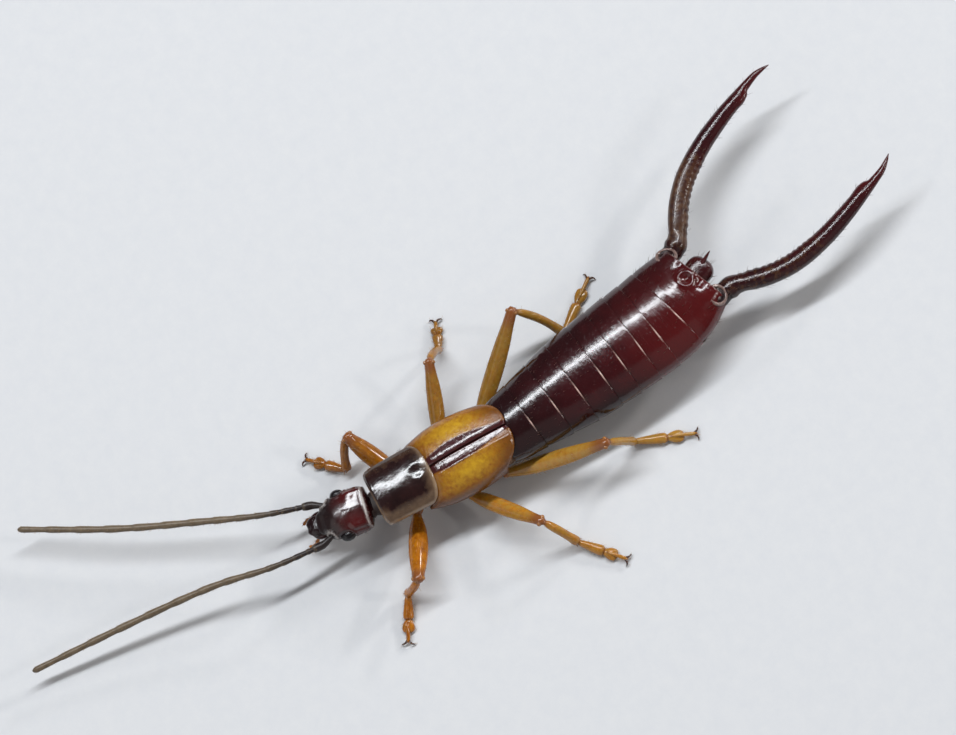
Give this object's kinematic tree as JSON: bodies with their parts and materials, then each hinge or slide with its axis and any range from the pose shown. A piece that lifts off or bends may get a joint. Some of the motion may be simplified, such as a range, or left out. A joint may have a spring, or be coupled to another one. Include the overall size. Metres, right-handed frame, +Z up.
{
  "type": "earwig",
  "caption": "Life-size adult male earwig, a still museum-type model standing on its six feet, with widely spread slender forceps and long feelers.",
  "frame": {"origin": "the middle of the model's bounding box, on the floor under its feet", "axes": "-Y towards the head, +Y towards the forceps, +X towards the animal's left, +Z up"},
  "size_m": [0.0098, 0.0262, 0.0021],
  "materials": {
    "mahogany_shell": "glossy dark red-brown cuticle",
    "brown_shield": "glossy black-brown cuticle with paler, clearer rims",
    "ochre_wing_case": "satin yellow-ochre cuticle with a dark inner stripe",
    "amber_leg": "satin amber cuticle",
    "tan_feeler": "dull tan-brown, finely downy",
    "black_eye": "black, finely faceted"
  },
  "bodies": {
    "root": {"head": "mahogany_shell", "mouthparts": "amber_leg", "eye_left": "black_eye", "eye_right": "black_eye", "antenna_left": "tan_feeler", "antenna_right": "tan_feeler", "pronotum": "brown_shield", "thorax": "amber_leg", "tegmen_left": "ochre_wing_case", "tegmen_right": "ochre_wing_case", "abdomen": "mahogany_shell", "last_tergite": "mahogany_shell", "pygidium": "mahogany_shell", "forceps_left": "mahogany_shell", "forceps_right": "mahogany_shell", "leg_front_left": "amber_leg", "leg_front_right": "amber_leg", "leg_middle_left": "amber_leg", "leg_middle_right": "amber_leg", "leg_hind_left": "amber_leg", "leg_hind_right": "amber_leg"}
  },
  "joints": []
}
